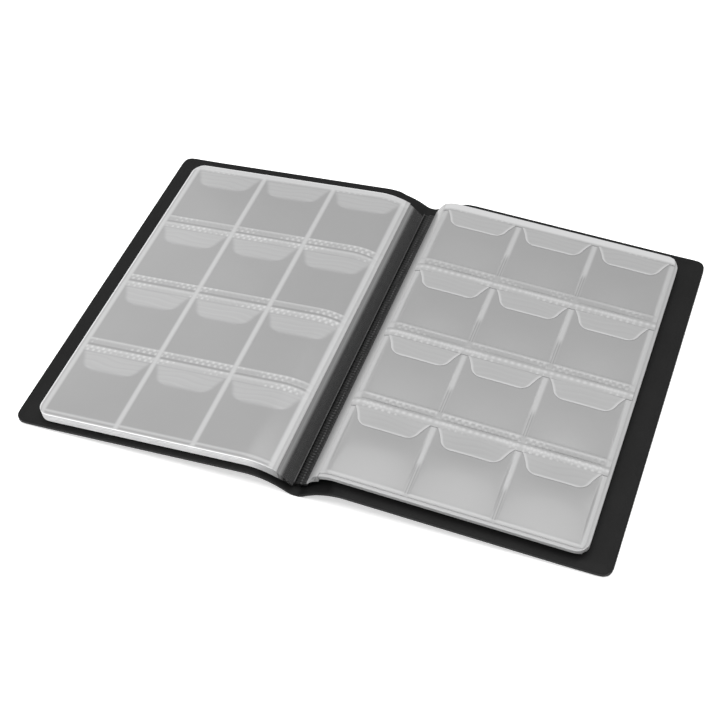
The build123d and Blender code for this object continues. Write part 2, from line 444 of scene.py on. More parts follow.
# Left margin film: paler near the leaf as a painted reflection of the overhead light, with a painted
# shade line and painted highlight lines along its curve, then dark where the black cover shows through.
MARGIN_DARK = clear_vinyl(
    "margin_film",
    tones=(
        (0.0, 0.32), (0.07, 0.3), (0.1, 0.12), (0.14, 0.26), (0.24, 0.2), (0.28, 0.26), (0.45, 0.035),
    ),
    alphas=((0.0, 0.95), (0.26, 0.85), (0.45, 0.7)),
    roughness=0.18,
)
MARGIN_GREY = clear_vinyl(
    "right_margin_film",
    tones=((0.0, 0.38), (0.5, 0.38), (1.0, 0.32)),
    alphas=((0.0, 0.96), (0.5, 0.95), (1.0, 0.85)),
    roughness=0.33,
)
BEAD_FILM = milky_vinyl("bead_vinyl", 0.03, 0.3, 0.3, 0.31, marks=False)


def board_material():
    """Grey binder's board with flecks."""
    material, nodes, links, shader = new_material("binders_board")
    flecks = noise(nodes, links, 500, 6)
    links.new(ramp(nodes, links, flecks, ((0.3, 0.22), (0.7, 0.34))), shader.inputs["Base Color"])
    shader.inputs["Roughness"].default_value = 0.9
    bump(nodes, links, flecks, 0.3, 0.0003, shader)
    return material


BOARD = board_material()


# ---------------------------------------------------------------- cover
def cover_floor(side, u):
    """Height of the cover's underside: a straight slope that curves down to the table."""
    slope = HINGE_Z - COVER_THICK / math.cos(LEAN) - (u - HINGE_X) * math.tan(LEAN)
    raw = slope - gutter_sag(COVER_REACH[side], u)
    soft = np.clip(CURVE_FLOOR - np.abs(raw), 0, None)
    return np.maximum(raw, 0) + soft * soft / (4 * CURVE_FLOOR)


def cover_place(side):
    """Map for half the cover, with w measured square to its underside."""

    def place(u, y, w):
        """The slope at u gives the direction of w; over the spine's middle it is upright."""
        step = 0.05 * MM
        rise = (cover_floor(side, u + step) - cover_floor(side, u - step)) / (2 * step)
        rise = np.where(u < step, 0, rise)
        length = np.sqrt(1 + rise * rise)
        x = u - w * rise / length
        z = cover_floor(side, u) + w / length
        return np.stack([side * x, y + 0 * x, z], axis=-1)

    return place


COVER_EDGE = HINGE_X + COVER_OUTER * math.cos(LEAN)
RIM_STATIONS = [0.0, 0.12 * MM, 0.3 * MM, 0.6 * MM, 1.0 * MM, 2.2 * MM, 3.2 * MM]


def skin_floor(u, distance):
    """Underside of the outer skin, round at the rim."""
    return 0 * u + bullnose(distance, SKIN_ROUND)


def skin_top(u, distance):
    """Top of the outer skin."""
    return 0 * u + OUTER_SKIN


def lining_floor(u, distance):
    """Underside of the lining, raised where the board lies under it."""
    along = smoothstep(HINGE_X + LINING_BORDER, HINGE_X + 4.0 * MM, u)
    over_board = along * smoothstep(LINING_BORDER, 3.9 * MM, distance)
    return OUTER_SKIN + BOARD_THICK * over_board


def lining_top(u, distance):
    """Top of the lining: thinner over the spine and along the weld, round at the rim."""
    over_board = smoothstep(HINGE_X - 1 * MM, HINGE_X + LINING_BORDER, u)
    body = SPINE_THICK + (COVER_THICK - SPINE_THICK) * over_board
    groove = 0.18 * MM * (1 - smoothstep(1.6 * MM, 3.4 * MM, distance)) * over_board
    return body - groove - bullnose(distance, LINING_ROUND)


def cover_half(side, name, floor, top, material, nodes):
    """One skin of half the cover, from the middle of the spine to the outer edge."""
    us = np.unique(np.concatenate([
        np.linspace(0, COVER_REACH[side], 60),
        np.linspace(COVER_REACH[side], COVER_EDGE, 40),
        [COVER_EDGE - station for station in RIM_STATIONS],
    ]).round(7))
    u, y = np.meshgrid(us, spaced(-COVER_HALF, COVER_HALF, 6 * MM, RIM_STATIONS))
    distance = np.minimum(COVER_EDGE - u, np.minimum(y + COVER_HALF, COVER_HALF - y))
    high, low = top(u, distance), floor(u, distance)
    u, y = round_corners(u, y, COVER_CORNER, -COVER_HALF, COVER_HALF, COVER_EDGE)
    mesh = Mesh()
    mesh.slab(cover_place(side), u, y, high, low, side == LEFT)
    piece = mesh.build(name, material)
    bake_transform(piece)
    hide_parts(*nodes)


def make_board(side, name, body):
    """Stiff board between the skins of one cover."""
    us = spaced(HINGE_X + BOARD_START, COVER_EDGE - BOARD_INSET, 4 * MM)
    u, y = np.meshgrid(us, spaced(BOARD_INSET - COVER_HALF, COVER_HALF - BOARD_INSET, 20 * MM))
    mesh = Mesh()
    low = OUTER_SKIN + BOARD_GAP
    high = low + BOARD_THICK - 2 * BOARD_GAP
    mesh.slab(cover_place(side), u, y, 0 * u + high, 0 * u + low, side == LEFT)
    piece = mesh.build(f"{name}_cover_board", BOARD)
    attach(piece, body)
    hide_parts(f"{name}_board")


def make_cover():
    """Both halves of the cover; the front half also stands for the CAD's spine skins."""
    for side, name, body in ((LEFT, "front", "front_cover"), (RIGHT, "back", "back_cover")):
        outer_nodes = [f"{name}_outer_skin"]
        inner_nodes = [f"{name}_liner"]
        if side == LEFT:
            outer_nodes.append("spine_skin")
            inner_nodes.append("spine_liner")
        cover_half(
            side, f"{name}_cover_skin", skin_floor, skin_top,
            COVER_OUT, outer_nodes,
        )
        cover_half(
            side, f"{name}_cover_lining", lining_floor, lining_top,
            COVER_IN, inner_nodes,
        )
        make_board(side, name, body)


# ---------------------------------------------------------------- binding strip
STRIP_LEFT = -2.6 * MM
STRIP_RIGHT = 4.9 * MM
STRIP_LOW = 3.6 * MM
STRIP_HIGH = 5.6 * MM
STRIP_THICK = 0.9 * MM
RIB_PITCH = 1.65 * MM
RIB_HEIGHT = 0.6 * MM
SEAM_HEIGHT = 0.45 * MM
WEB_HALF = 1.0 * MM
FILM_FOOT = 0.55 * MM  # edge of the strip to the foot of the films
BEAD_RADIUS = 0.34 * MM
BEAD_LIFT = 0.75 * MM


def strip_top(x):
    """Top of the binding strip, which leans up to the right."""
    return STRIP_LOW + (STRIP_HIGH - STRIP_LOW) * (x - STRIP_LEFT) / (STRIP_RIGHT - STRIP_LEFT)


def plain_place(x, y, z):
    """Map for grids that are already in the frame's own coordinates."""
    return np.stack([x, y + 0 * x, z + 0 * x], axis=-1)


def rib_relief(x, y):
    """Two lanes of slanting ribs, half a pitch apart, with a wavy seam between them."""
    across = (x - STRIP_LEFT) / (STRIP_RIGHT - STRIP_LEFT)
    lane = np.where(across > 0.5, 1, 0)
    slant = 0.25 * (x - STRIP_LEFT)
    ribs = 0.5 + 0.5 * np.sin(2 * np.pi * (y + slant) / RIB_PITCH + lane * np.pi)
    lanes = np.sin(np.pi * np.clip((across - 0.06) / 0.44 % 1, 0, 1)) ** 0.6
    edge = smoothstep(0, 0.12, np.minimum(across, 1 - across))
    waves = 0.55 + 0.45 * np.sin(y / (4.1 * MM))
    seam = SEAM_HEIGHT * np.exp(-(((across - 0.5) / 0.05) ** 2)) * waves
    return RIB_HEIGHT * ribs * lanes * edge + seam


def make_strip():
    """Ribbed strip that welds the film margins to the spine, on its own web."""
    ys = np.arange(LEAF_LOW.y, LEAF_HIGH.y, RIB_PITCH / 8)
    x, y = np.meshgrid(np.linspace(STRIP_LEFT, STRIP_RIGHT, 26), ys)
    mesh = Mesh()
    top = strip_top(x) + rib_relief(x, y)
    mesh.slab(plain_place, x, y, top, strip_top(x) - STRIP_THICK, False)
    web_x, web_y = np.meshgrid(np.linspace(-WEB_HALF, WEB_HALF, 3), [LEAF_LOW.y, LEAF_HIGH.y])
    web_top = strip_top(web_x) - 0.5 * STRIP_THICK
    web_foot = 0 * web_x + SPINE_THICK - 0.2 * MM
    mesh.slab(plain_place, web_x, web_y, web_top, web_foot, False)
    piece = mesh.build("binding_ribs", BINDING_BLACK, 60)
    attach(piece, "spine")
    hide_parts("binding_strip")


def make_bead():
    """Round bead along the left foot of the films."""
    angle, along = np.meshgrid(
        np.linspace(0, 2 * np.pi, 13), spaced(LEAF_LOW.y, LEAF_HIGH.y, 12 * MM)
    )
    centre_x = STRIP_LEFT + FILM_FOOT
    centre_z = strip_top(centre_x) + BEAD_LIFT

    def place(turn, y, radius):
        return np.stack([centre_x + radius * np.cos(turn), y, centre_z + radius * np.sin(turn)], axis=-1)

    mesh = Mesh()
    outside, bore = 0 * angle + BEAD_RADIUS, 0 * angle + 0.4 * BEAD_RADIUS
    mesh.slab(place, angle, along, outside, bore, True)
    piece = mesh.build("film_edge_bead", BEAD_FILM, 60)
    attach(piece, "spine")


# ---------------------------------------------------------------- leaves
DETAILED_STEPS = (0.45 * MM, 0.4 * MM)  # grid steps: over the pockets, over the weld bands
HIDDEN_STEPS = (2.5 * MM, 2.0 * MM)


def dashes(s):
    """Strength of a dashed line that keeps step with the knurl, between 0.2 and 1."""
    return 0.6 + 0.4 * np.cos(2 * np.pi * s / DOT_PITCH)


def knurl(s, up):
    """Two staggered rows of raised dots along a knurled weld, between 0 and 1."""
    rows = np.cos(np.pi * (up - DOT_ROW / 2) / DOT_ROW)
    return 0.5 + 0.5 * np.cos(2 * np.pi * s / DOT_PITCH) * rows


def block_coordinates(s, y):
    """Column, share across it, distance beyond an upright weld, row, height above its base."""
    across = s - BLOCK_INNER
    column = np.clip(np.floor(across / COLUMN_PITCH), 0, COLUMNS - 1)
    share = (across - column * COLUMN_PITCH) / COLUMN_PITCH
    line = np.round(across / COLUMN_PITCH)
    half = np.where(line == 0, INNER_WELD, SIDE_WELD) / 2
    beyond_weld = np.abs(across - line * COLUMN_PITCH) - half
    up = y - BLOCK_BOTTOM
    row = np.clip(np.floor(up / ROW_PITCH), 0, ROWS - 1)
    return column, np.clip(share, 0, 1), beyond_weld, row, up - row * ROW_PITCH


def weld_height(row):
    """Height of a row's bottom weld; the lowest one is narrow."""
    return np.where(row == 0, LOWEST_WELD, BOTTOM_WELD)


def variation(column, row, salt):
    """A value between 0 and 1 that differs from pocket to pocket: the tail of a large sine."""
    value = np.sin((column + 1) * 12.9898 + (row + 1) * 78.233 + salt * 37.719) * 43758.5453
    return value - np.floor(value)


def pocket_bulge(s, y, height):
    """How far the front film of the pockets stands up between its welds."""
    column, share, _, row, up = block_coordinates(s, y)
    centre = 0.5 + 0.16 * (variation(column, row, 1) - 0.5)
    beyond = 0.5 + (share - centre) / (2 * (1 - centre))
    skewed = np.where(share < centre, share / (2 * centre), beyond)
    across = np.sin(np.pi * np.clip(skewed, 0, 1)) ** 0.7
    foot_line = weld_height(row)
    rise = (up - foot_line) / (POCKET_TOP - foot_line)
    foot = 0.42 + 0.14 * variation(column, row, 2)
    swell = np.sin(0.5 * np.pi * np.clip(rise / foot, 0, 1))
    along = swell * (1 - 0.8 * smoothstep(foot, 1.0, rise))
    fullness = np.where(row == 0, 0.85, 0.3 + 0.35 * variation(column, row, 3))
    return height * fullness * across * along


def leaf_lines(step, band_step):
    """Stations up the leaf, closer together across the weld bands."""
    parts = [np.arange(LEAF_LOW.y, LEAF_HIGH.y, step)]
    for row in range(ROWS):
        base = BLOCK_BOTTOM + row * ROW_PITCH
        parts.append(np.arange(base, base + BOTTOM_WELD + band_step / 2, band_step))
        parts.append(np.arange(base + BAND_LOW, base + BAND_HIGH + band_step / 2, band_step))
    lines = np.unique(np.concatenate(parts).round(6))
    keep = np.concatenate([[True], np.diff(lines) > 0.6 * band_step])
    lines = lines[keep]
    lines = lines[lines < LEAF_HIGH.y - 0.7 * MM]
    rim = [LEAF_HIGH.y - 0.6 * MM, LEAF_HIGH.y - 0.3 * MM, LEAF_HIGH.y]
    return np.concatenate([lines, rim])


def tongue_root(column, row):
    """Middle of the line where a tongue leaves its band."""
    centre = BLOCK_INNER + (column + 0.5) * COLUMN_PITCH
    root = BLOCK_BOTTOM + row * ROW_PITCH + BAND_LOW
    return centre, root


def tongue_half_width(share):
    """Half width of a tongue from its root, share 0, to its tip, share 1."""
    flare = (FLAP_ROOT - FLAP_TIP) / 2 * (1 - share) ** 1.6
    turn = np.clip((share - FLAP_TURN) / (1 - FLAP_TURN), 0, 1)
    return FLAP_TIP / 2 + flare - FLAP_CORNER * (1 - np.sqrt(np.clip(1 - turn * turn, 0, 1)))


def tongue_mask(s, y, soft):
    """1 where a flap's tongue lies, fading over the given width."""
    fade = soft / FLAP_LENGTH
    mask = 0 * s
    for row in range(ROWS):
        for column in range(COLUMNS):
            centre, root = tongue_root(column, row)
            share = (root - y) / FLAP_LENGTH
            beside = np.abs(s - centre) - tongue_half_width(np.clip(share, 0, 1))
            below_root = smoothstep(-0.05, 0.02, share)
            above_tip = smoothstep(1 + fade, 1 - fade, share)
            mask = np.maximum(mask, smoothstep(soft, -soft, beside) * below_root * above_tip)
    return mask


def streaks(s, y):
    """Faint wavy lines across the tongues, between 0 and 1."""
    wave = 1.9 * np.sin(s / (9 * MM) + y / (7 * MM)) + 0.9 * np.sin(s / (3.7 * MM) + y / (5 * MM))
    fine = np.sin(2 * np.pi * y / (1.7 * MM) + 1.6 * wave)
    return np.clip(0.5 + 0.3 * np.sin(2 * np.pi * y / (3.1 * MM) + wave) + 0.2 * fine, 0, 1)


def band_masks(s, y):
    """Where the lower welds, the flap bands, the upright welds and the grooves lie, 0 to 1."""
    _, _, beyond_weld, row, up = block_coordinates(s, y)
    soft = 0.25 * MM
    in_block = (s > STRIPS_INNER) & (s < STRIPS_OUTER)
    foot = weld_height(row)
    lower = smoothstep(-soft, soft, up) * smoothstep(foot + soft, foot - soft, up)
    above_low = smoothstep(BAND_LOW - soft, BAND_LOW + soft, up)
    upper = above_low * smoothstep(BAND_HIGH + soft, BAND_HIGH - soft, up)
    below_margin = y < BLOCK_BOTTOM + ROWS * ROW_PITCH - 2 * MM
    groove = smoothstep(BAND_HIGH, BAND_HIGH + soft, up) * below_margin
    upright = smoothstep(0.8 * MM, -0.7 * MM, beyond_weld)
    return lower * in_block, upper * in_block, upright, groove * in_block


def top_rim(y):
    """The clear, smooth margin along a leaf's back edge."""
    return smoothstep(LEAF_HIGH.y - 4.2 * MM, LEAF_HIGH.y - 3.0 * MM, y)


def dot_relief(s, y):
    """Knurl of both bands: the lowest weld has none, and dots fade in and out along the rows."""
    _, _, _, row, up = block_coordinates(s, y)
    lower_dots = knurl(s, up) * (row > 0)
    upper_dots = knurl(s, up - BAND_LOW)
    patch = np.sin(s / (15 * MM) + 1.7 * row) * np.sin(s / (9 * MM) + 2.3 * row + y / (3 * MM))
    fade = 0.35 + 0.65 * smoothstep(-0.45, 0.35, patch)
    return np.where(up < 0.5 * ROW_PITCH, lower_dots, upper_dots) * fade * (1 - 0.8 * top_rim(y))


def free_edge_distance(s, y):
    """Distance to a leaf's nearest edge, the one in the gutter left out."""
    return np.minimum(LEAF_OUTER - s, np.minimum(y - LEAF_LOW.y, LEAF_HIGH.y - y))


def edge_highlight_line(s, y):
    """Painted highlight along a leaf's free edges."""
    return smoothstep(0.35 * MM, 0.05 * MM, free_edge_distance(s, y))


def ridge(distance, centre, width):
    """Soft line of the given half width, where the distance equals centre."""
    return np.exp(-(((distance - centre) / width) ** 2))


def dot_highlight(dots):
    """Painted highlight where the tops of the knurl's dots catch the light, 0 to 1."""
    return smoothstep(0.4, 0.85, dots)


def back_relief(s, y, detailed):
    """Height and marks of a leaf seen from its plain side, where its welds show through."""
    lower, upper, upright, groove = band_masks(s, y)
    band = np.maximum(lower, upper)
    tongue = tongue_mask(s, y, 1.5 * MM)
    dots = dot_relief(s, y) * band * detailed * (1 - upright)
    height = pocket_bulge(s, y, BACK_BULGE) * (1 - band) * (1 - upright)
    height = height + 0.10 * MM * upright + DOT_HEIGHT * dots + 0.05 * MM * band + 0.06 * MM * tongue
    rim = smoothstep(1.1 * MM, 0.6 * MM, free_edge_distance(s, y))
    rim = np.maximum(rim, 0.9 * top_rim(y))
    # inner crease: a real shallow dip, darkened with painted shade
    inner_crease = ridge(s, LEAF_INNER + 1.6 * MM, 0.25 * MM)
    _, _, _, row, up = block_coordinates(s, y)
    # fold and crown: painted highlight lines along the weld bands, with no relief under them
    fold = ridge(up, weld_height(row) - 0.4 * MM, 0.8 * MM)
    root = ridge(up, BAND_LOW - 0.3 * MM, 0.3 * MM)
    crown_highlight = ridge(up, BAND_HIGH - 1.0 * MM, 0.9 * MM)
    bands = np.maximum(lower * (0.22 + 0.5 * fold), upper * (0.38 + 0.3 * crown_highlight))
    # painted shade: the weld tone darkens towards the gutter
    gutter_shade = 1 - 0.45 * smoothstep(LEAF_INNER + 2.2 * MM, LEAF_INNER + 0.8 * MM, s)
    # painted shade in the groove between bands and along the tongues' root
    crease_shades = np.maximum(groove * 0.16, root * 0.2) * (1 - upright)
    # the painted edge highlight fades out towards the gutter
    edge_highlight_fade = smoothstep(LEAF_INNER + 1 * MM, LEAF_INNER + 16 * MM, s)
    marks = {
        # real pale welds, with painted highlight lines on the bands and painted shade towards the gutter
        "weld": np.clip(np.maximum(np.maximum(upright * 0.75, bands), rim) * gutter_shade, 0, 1),
        # painted highlight on the dot tops
        "dots": dot_highlight(dots) * 0.2,
        "flap": tongue * (0.46 + 0.18 * streaks(s, y)) * (1 - upright) * (1 - band),
        "crease": np.maximum(crease_shades, inner_crease * 0.6),
        "edge": edge_highlight_line(s, y) * edge_highlight_fade,
    }
    return height + 0.12 * MM * rim - 0.1 * MM * inner_crease, marks


def leaf_grid(step, band_step):
    """Grid over a whole leaf."""
    xs = spaced(LEAF_INNER, LEAF_OUTER, step, (0.3 * MM, 0.6 * MM))
    return np.meshgrid(xs, leaf_lines(step, band_step))


def leaf_corners(s, y):
    """Follow the round outer corners of a leaf."""
    return round_corners(s, y, LEAF_CORNER, LEAF_LOW.y, LEAF_HIGH.y, LEAF_OUTER)


def grid_steps(detailed):
    """Fine grids for the leaves that show, coarse ones for those below."""
    return DETAILED_STEPS if detailed else HIDDEN_STEPS


def plain_marks(s, weld=0.0):
    """Marks of a plain film: none but an even weld tone."""
    return {"weld": 0 * s + weld, "dots": 0 * s, "flap": 0 * s, "crease": 0 * s, "edge": 0 * s}


def finish_piece(mesh, name, material, body, nodes):
    """Build a leaf's or flap's mesh, ride it on its body and hide the CAD parts it stands for."""
    piece = mesh.build(name, material, 50)
    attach(piece, body)
    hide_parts(*nodes)


def make_base(number, side, bottom, detailed, inset):
    """Base film of one leaf; on the left it is the face that shows."""
    s, y = leaf_grid(*grid_steps(detailed))
    if side == LEFT:
        relief, marks = back_relief(s, y, detailed)
        relief = relief if detailed else 0.3 * relief
    else:
        relief = 0 * s
        marks = plain_marks(s, 0.3)
        # right-hand free edges get a much weaker painted highlight than the left-hand ones
        marks["edge"] = 0.1 * edge_highlight_line(s, y)
    top = bottom + SHEET + relief
    s, y = leaf_corners(s, y)
    y = y + inset * smoothstep(LEAF_LOW.y + 12 * MM, LEAF_LOW.y, y)
    mesh = Mesh()
    mesh.slab(panel_place(side), s, y, top, 0 * top + bottom, side == LEFT, marks)
    leaf = f"leaf_{number:02d}"
    finish_piece(mesh, f"{leaf}_base_film", PAGE, leaf, [f"{leaf}_sheet"])


def front_relief(s, y, detailed):
    """Height and marks of the pocket fronts, above the leaf's underside."""
    lower, upper, upright, _ = band_masks(s, y)
    _, _, beyond_weld, row, up = block_coordinates(s, y)
    band = np.maximum(lower, upper)
    raised = pocket_bulge(s, y, SHOWN_BULGE if detailed else HIDDEN_BULGE)
    broad = smoothstep(PLEAT_HEIGHT - 3 * MM, PLEAT_HEIGHT + 3 * MM, up)
    block_outer = BLOCK_INNER + COLUMNS * COLUMN_PITCH
    inner_weld = (s > BLOCK_INNER + SIDE_WELD) & (s < block_outer - SIDE_WELD)
    pleat_line = ridge(beyond_weld + SIDE_WELD / 2, PLEAT_HALF, 0.24 * MM)
    pleat = pleat_line * (1 - broad) * inner_weld * (1 - lower)
    dots = dot_relief(s, y) * band * detailed * (1 - upright)
    flat = np.maximum(band, upright)
    height = WELD_TOP + (FILM_TOP - WELD_TOP + raised) * (1 - flat)
    height = height + 0.17 * MM * lower * (row > 0) + DOT_HEIGHT * dots
    # fold: a real raised ridge at the weld's top, also painted paler as a highlight
    fold = ridge(up, weld_height(row) - 0.2 * MM, 0.7 * MM)
    rim = 0.45 * smoothstep(0.6 * MM, 0.3 * MM, up) * (row == 0)
    bar = upright * np.where(inner_weld, 0.2 + 0.4 * broad, 0.5)
    marks = plain_marks(s)
    marks["weld"] = np.clip(np.maximum.reduce([bar, lower * 0.12, fold * 0.4, rim]), 0, 1)
    fold_shade = ridge(up, weld_height(row) + 0.5 * MM, 0.4 * MM) * dashes(s)
    # painted shade in the pleats beside the upright welds and just above the fold
    marks["crease"] = np.maximum(0.45 * pleat, 0.22 * fold_shade * (1 - upright) * (row > 0))
    # painted highlight on the dot tops
    marks["dots"] = dot_highlight(dots) * 0.10
    return height + 0.12 * MM * fold * (1 - upright), marks


def front_columns(step):
    """Stations across a row of pockets, closer together over the upright welds between them."""
    fine = np.linspace(-1.0 * MM, 1.0 * MM, 11)
    welds = [BLOCK_INNER + column * COLUMN_PITCH + fine for column in range(1, COLUMNS)]
    even = spaced(STRIPS_INNER, STRIPS_OUTER, step, (0.25 * MM,))
    stations = np.unique(np.concatenate([even] + welds).round(6))
    return stations[np.concatenate([[True], np.diff(stations) > 0.05 * MM])]


def make_fronts(number, side, base, detailed):
    """Four rows of pocket fronts of one leaf."""
    step, band_step = grid_steps(detailed)
    mesh = Mesh()
    for row in range(ROWS):
        low = BLOCK_BOTTOM + row * ROW_PITCH
        ys = np.unique(np.concatenate([
            np.arange(low, low + BOTTOM_WELD, band_step),
            np.arange(low + BOTTOM_WELD, low + POCKET_TOP, max(step, 0.6 * MM)),
            [low + POCKET_TOP],
        ]).round(7))
        s, y = np.meshgrid(front_columns(step), ys)
        height, marks = front_relief(s, y, detailed)
        if side == RIGHT:
            top, bottom = base + height, 0 * height + base + SHEET
        else:
            top, bottom = 0 * height + base + LEAF_THICK - SHEET, base + LEAF_THICK - height
        s, y = leaf_corners(s, y)
        mesh.slab(panel_place(side), s, y, top, bottom, side == LEFT, marks)
    leaf = f"leaf_{number:02d}"
    finish_piece(mesh, f"{leaf}_pocket_fronts", PAGE, leaf, [f"{leaf}_pockets"])


def band_slab(mesh, side, row, base, rest, detailed):
    """Knurled band that holds one row's flaps; rest is the height of the film it lies on."""
    step, band_step = grid_steps(detailed)
    low = BLOCK_BOTTOM + row * ROW_PITCH
    ys = spaced(low + BAND_LOW, low + BAND_HIGH, band_step)
    s, y = np.meshgrid(spaced(STRIPS_INNER, STRIPS_OUTER, step), ys)
    upright = band_masks(s, y)[2]
    dots = dot_relief(s, y) * detailed * (1 - upright)
    line = ridge(y, low + BAND_HIGH - 1.2 * MM, 0.9 * MM)
    thick = FLAP_THICK + DOT_HEIGHT * dots
    marks = plain_marks(s)
    bright = np.maximum(0.6 * line * dashes(s), 0.7 * top_rim(y))
    marks["weld"] = np.clip(0.12 + bright, 0, 1)
    # painted highlight on the dot tops
    marks["dots"] = dot_highlight(dots) * 0.14
    s, y = leaf_corners(s, y)
    if side == RIGHT:
        top, bottom = base + rest + thick, 0 * s + base + rest
    else:
        top, bottom = 0 * s + base + FLAP_THICK, base + FLAP_THICK - thick
    mesh.slab(panel_place(side), s, y, top, bottom, side == LEFT, marks)


def tongue_slab(mesh, side, column, row, base, lie, gap):
    """One tongue, lying on the pocket front; lie gives the film's height under it."""
    centre, root = tongue_root(column, row)
    tip = FLAP_TURN + (1 - FLAP_TURN) * np.sin(np.linspace(0, np.pi / 2, 11))[1:]
    down = np.concatenate([np.linspace(0, FLAP_TURN, 12), tip])
    a, b = np.meshgrid(np.linspace(-1, 1, 41), down[::-1])
    half = tongue_half_width(b)
    s = centre + a * half
    y = root - gap - b * (FLAP_LENGTH - gap)
    edge = np.minimum((1 - np.abs(a)) * half, (1 - b) * FLAP_LENGTH)
    rim = smoothstep(1.4 * MM, 0.5 * MM, edge)
    under = lie(s, y)
    marks = plain_marks(s)
    marks["weld"] = rim * 0.62
    marks["flap"] = 0.15 + 0.22 * streaks(s, y)
    if side == RIGHT:
        top, bottom = base + under + FLAP_THICK + 0.05 * MM * rim, base + under
    else:
        top, bottom = 0 * s + base + FLAP_THICK, 0 * s + base
    mesh.slab(panel_place(side), s, y, top, bottom, side == LEFT, marks)


def make_flaps(number, side, base):
    """Flap bands and tongues of a leaf whose flaps stay closed."""

    def lie(s, y):
        return 0 * s + FILM_TOP

    mesh = Mesh()
    for row in range(ROWS):
        band_slab(mesh, side, row, base, FILM_TOP, False)
        for column in range(COLUMNS):
            tongue_slab(mesh, side, column, row, base, lie, 0.0)
    leaf = f"leaf_{number:02d}"
    finish_piece(mesh, f"{leaf}_flap_strips", FLAP_FILM, leaf, [f"{leaf}_flaps"])


def filler_slab(mesh, row, base):
    """Film that slopes from a row's flap band down to the weld of the row above."""
    low = BLOCK_BOTTOM + row * ROW_PITCH
    ys = np.linspace(low + BAND_HIGH - 0.3 * MM, low + ROW_PITCH + 0.5 * MM, 9)
    s, y = np.meshgrid(spaced(STRIPS_INNER, STRIPS_OUTER, 2 * MM), ys)
    high = FILM_TOP + FLAP_THICK - 0.03 * MM
    drop = FILM_TOP + FLAP_THICK - WELD_TOP - 0.2 * MM
    top = base + high - drop * smoothstep(ys[0], ys[-1], y)
    mesh.slab(panel_place(RIGHT), s, y, top, 0 * s + base + SHEET, False, plain_marks(s, 0.08))


def make_knurled_bands(number, base):
    """Flap bands of the top right-hand leaf, without their tongues."""
    mesh = Mesh()
    for row in range(ROWS):
        band_slab(mesh, RIGHT, row, base, FILM_TOP, True)
    for row in range(ROWS - 1):
        filler_slab(mesh, row, base)
    leaf = f"leaf_{number:02d}"
    finish_piece(
        mesh, f"{leaf}_knurled_bands", FLAP_FILM, leaf, [f"{leaf}_flap_bands"]
    )


def make_free_flaps(base):
    """The twelve flaps of the top right-hand leaf, each on its own body."""

    def lie(s, y):
        return FILM_TOP + TONGUE_GAP + pocket_bulge(s, y, SHOWN_BULGE)

    for row in range(ROWS):
        for column in range(COLUMNS):
            index = (ROWS - 1 - row) * COLUMNS + column + 1
            mesh = Mesh()
            tongue_slab(mesh, RIGHT, column, row, base, lie, FLAP_HINGE_GAP)
            flap = f"flap_{index:02d}"
            finish_piece(mesh, f"{flap}_tongue", FLAP_FILM, flap, [flap])


# ---------------------------------------------------------------- film margins in the gutter
MARGIN_FILM = 0.16 * MM
MARGIN_POINTS = 30
MARGIN_KNEE = {LEFT: 4.6 * MM, RIGHT: 6.2 * MM}  # where each leaf's film leaves the bundle


def bezier(points, count):
    """Points along a cubic curve with four control points."""
    t = np.linspace(0, 1, count)[:, None]
    a, b, c, d = [np.array(p, float) for p in points]
    return (1 - t) ** 3 * a + 3 * (1 - t) ** 2 * t * b + 3 * (1 - t) * t * t * c + t ** 3 * d


def film_strip(mesh, side, line, depths):
    """Thin curved film that follows a section line; its depth mark runs between two values."""
    ys = spaced(LEAF_LOW.y + 0.2 * MM, LEAF_HIGH.y - 0.2 * MM, 8 * MM)
    tangent = np.gradient(line, axis=0)
    normal = np.stack([-tangent[:, 1], tangent[:, 0]], axis=-1)
    normal /= np.linalg.norm(normal, axis=1)[:, None]
    index, y = np.meshgrid(np.arange(len(line)), ys)

    def place(i, py, w):
        xz = line[i] + normal[i] * w[..., None]
        return np.stack([xz[..., 0], py + stack_shift(side, py), xz[..., 1]], axis=-1)

    top = 0.5 * MARGIN_FILM + 0.0 * y
    depth = depths[0] + (depths[1] - depths[0]) * index / (len(line) - 1)
    mesh.slab(place, index, y, top, -top, side == RIGHT, {"depth": depth})


def margin_line(side, order):
    """Section of one leaf's margin from the leaf to the strip; order 0 is the top leaf."""
    s = np.array([LEAF_INNER + 1.6 * MM, LEAF_INNER])
    w = 0 * s + leaf_base(order) + 0.45 * MM
    root, edge = panel_place(side)(s, 0 * s, w)[:, ::2]
    slope = (edge - root) / np.linalg.norm(edge - root)
    foot_x = STRIP_LEFT + FILM_FOOT if side == LEFT else STRIP_RIGHT - FILM_FOOT
    layers = LEAVES_PER_SIDE - 1 - order
    foot_z = strip_top(foot_x) + (0.12 + 0.15 * layers) * MM
    foot = np.array([foot_x + 0.06 * side * order * MM, foot_z])
    lean_in = np.array([side * 1.5 * MM, 1.3 * MM if side == LEFT else 2.6 * MM])
    return bezier([root, root + slope * 3.2 * MM, foot + lean_in, foot], MARGIN_POINTS)


def split_line(line, side):
    """Cut a margin's section at the knee into its upper and lower stretch."""
    cut = int(np.argmin(np.abs(side * line[:, 0] - MARGIN_KNEE[side])))
    return line[: cut + 1], line[cut:]


